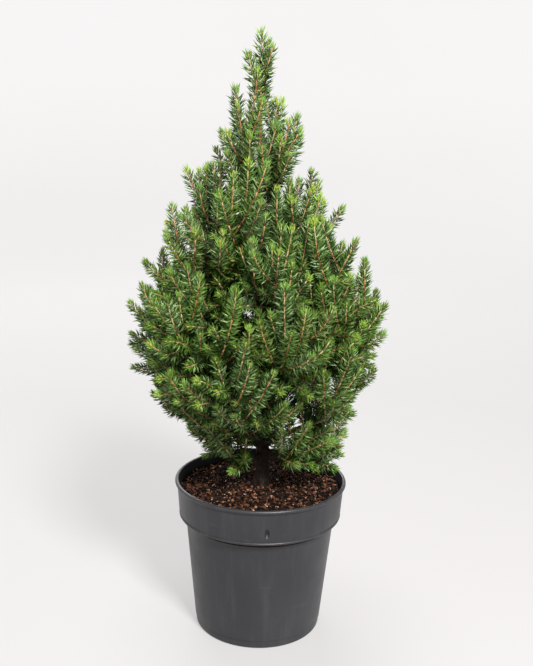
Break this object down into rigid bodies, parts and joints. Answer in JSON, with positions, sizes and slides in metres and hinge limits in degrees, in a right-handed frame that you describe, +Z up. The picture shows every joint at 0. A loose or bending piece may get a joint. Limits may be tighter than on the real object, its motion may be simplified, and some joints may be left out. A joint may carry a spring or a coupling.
{
  "type": "potted dwarf alberta spruce",
  "caption": "Young conical dwarf spruce with short needles on ascending boughs, standing in a round plastic nursery pot filled with soil.",
  "frame": {"origin": "middle of the pot's flat underside", "axes": "+Z up along the trunk, +X to the plant's right seen from its front, -Y towards its front"},
  "size_m": [0.2976, 0.299, 0.6825],
  "materials": {
    "pot": "matt moulded charcoal plastic with faint scuffs",
    "soil": "damp dark potting soil with bark chips",
    "bark": "rough grey-brown bark",
    "needles": "mid-green needles with yellow-green tips"
  },
  "bodies": {
    "root": {"pot": "pot", "soil": "soil", "trunk": "bark", "bough_skirt_1": "bark", "bough_skirt_2": "bark", "bough_skirt_3": "bark", "bough_skirt_4": "bark", "bough_skirt_5": "bark", "bough_low_1": "bark", "bough_low_2": "bark", "bough_low_3": "bark", "bough_low_4": "bark", "bough_low_5": "bark", "bough_low_6": "bark", "bough_middle_1": "bark", "bough_middle_2": "bark", "bough_middle_3": "bark", "bough_middle_4": "bark", "bough_middle_5": "bark", "bough_middle_6": "bark", "bough_shoulder_1": "bark", "bough_shoulder_2": "bark", "bough_shoulder_3": "bark", "bough_shoulder_4": "bark", "bough_shoulder_5": "bark", "mass_skirt_1": "needles", "mass_skirt_2": "needles", "mass_skirt_3": "needles", "mass_skirt_4": "needles", "mass_skirt_5": "needles", "mass_low_1": "needles", "mass_low_2": "needles", "mass_low_3": "needles", "mass_low_4": "needles", "mass_low_5": "needles", "mass_low_6": "needles", "mass_middle_1": "needles", "mass_middle_2": "needles", "mass_middle_3": "needles", "mass_middle_4": "needles", "mass_middle_5": "needles", "mass_middle_6": "needles", "mass_shoulder_1": "needles", "mass_shoulder_2": "needles", "mass_shoulder_3": "needles", "mass_shoulder_4": "needles", "mass_shoulder_5": "needles", "mass_upper_1": "needles", "mass_upper_2": "needles", "mass_upper_3": "needles", "mass_upper_4": "needles", "mass_upper_5": "needles", "mass_top_1": "needles", "mass_top_2": "needles", "mass_top_3": "needles", "mass_top_4": "needles", "mass_leader": "needles"}
  },
  "joints": []
}
